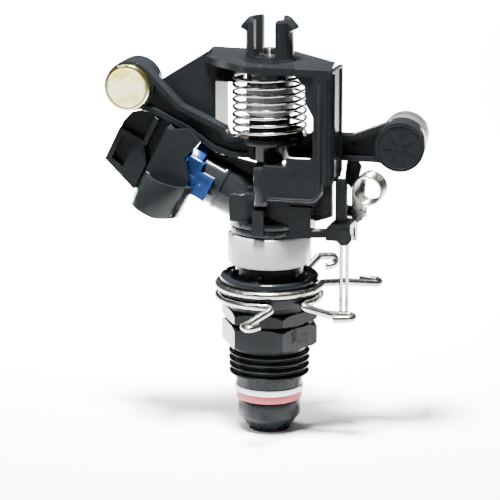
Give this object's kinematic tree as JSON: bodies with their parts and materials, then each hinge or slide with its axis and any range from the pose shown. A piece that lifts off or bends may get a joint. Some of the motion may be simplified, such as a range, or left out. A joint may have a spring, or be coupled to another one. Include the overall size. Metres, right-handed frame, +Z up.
{
  "type": "impact sprinkler",
  "caption": "Part-circle impact sprinkler: swinging weighted arm, angled nozzle barrel, wire trip collars and a threaded bearing nipple.",
  "frame": {"origin": "centre of the bearing tube's lower end, on the riser axis", "axes": "+Z up along the riser axis, -X towards the nozzle, -Y the side with the bridge's front leg"},
  "size_m": [0.0837, 0.0445, 0.1087],
  "materials": {
    "black_plastic": "satin moulded, glossy skin",
    "blue_plastic": "glossy moulded",
    "grey_plastic": "light grey, glossy moulded",
    "mid_grey_plastic": "mid grey, satin moulded",
    "white_plastic": "smooth",
    "pink_rubber": "matt",
    "dark_rubber": "matt",
    "stainless": "bright drawn wire",
    "zinc": "yellow zinc plate"
  },
  "bodies": {
    "riser_fitting": {"bearing_nipple": "black_plastic"},
    "head": {"bearing_tube": "black_plastic", "pink_washer": "pink_rubber", "white_washer": "white_plastic", "sand_seal": "dark_rubber", "bearing_spring": "stainless", "dust_sleeve": "grey_plastic", "body": "black_plastic", "fulcrum_pin": "stainless", "wear_washer": "white_plastic", "nozzle": "blue_plastic", "nozzle_gasket": "dark_rubber", "stream_straightener": "black_plastic", "arm_spring": "stainless"},
    "arm": {"arm": "black_plastic", "arm_bushing": "mid_grey_plastic", "front_weight": "zinc", "rear_weight": "zinc", "drive_spoon": "black_plastic"},
    "trip_lever": {"trip_lever": "black_plastic", "trip_pivot_pin": "stainless", "pawl_pin": "stainless"},
    "trip_pin": {"trip_pin": "stainless"},
    "pawl": {"pawl": "stainless", "pawl_horn": "black_plastic", "trip_spring": "stainless"},
    "lower_collar": {"lower_collar": "stainless"},
    "upper_collar": {"upper_collar": "stainless"}
  },
  "joints": [
    {"name": "head_turn", "type": "hinge", "parent": "riser_fitting", "child": "head", "pos_m": [0, 0, 0.03], "axis": [0, 0, 1], "range_deg": [-7, 11]},
    {"name": "arm_swing", "type": "hinge", "parent": "head", "child": "arm", "pos_m": [0, 0, 0.08], "axis": [0, 0, 1], "range_deg": [0, 60], "stiffness_Nm_per_rad": 0.02, "springref_deg": -20.05, "deforming": ["arm_spring"]},
    {"name": "trip_swing", "type": "hinge", "parent": "head", "child": "trip_lever", "pos_m": [0, 0, 0.0535], "axis": [0, 0, 1], "range_deg": [0, 9]},
    {"name": "pawl_swing", "type": "hinge", "parent": "trip_lever", "child": "pawl", "pos_m": [0.0234, 0, 0.058], "axis": [0, -1, 0], "range_deg": [-11, 0], "deforming": ["trip_spring"]},
    {"name": "trip_pin_flip", "type": "hinge", "parent": "trip_lever", "child": "trip_pin", "pos_m": [0.02, 0, 0.0536], "axis": [0, -1, 0], "range_deg": [0, 95]},
    {"name": "lower_collar_turn", "type": "hinge", "parent": "riser_fitting", "child": "lower_collar", "pos_m": [0, 0, 0.0361], "axis": [0, 0, -1], "range_deg": [0, 200]},
    {"name": "upper_collar_turn", "type": "hinge", "parent": "riser_fitting", "child": "upper_collar", "pos_m": [0, 0, 0.039], "axis": [0, 0, 1], "range_deg": [0, 240]}
  ],
  "couplings": [
    {"joint": "pawl_swing", "follows": "trip_swing", "ratio": -1.2}
  ]
}
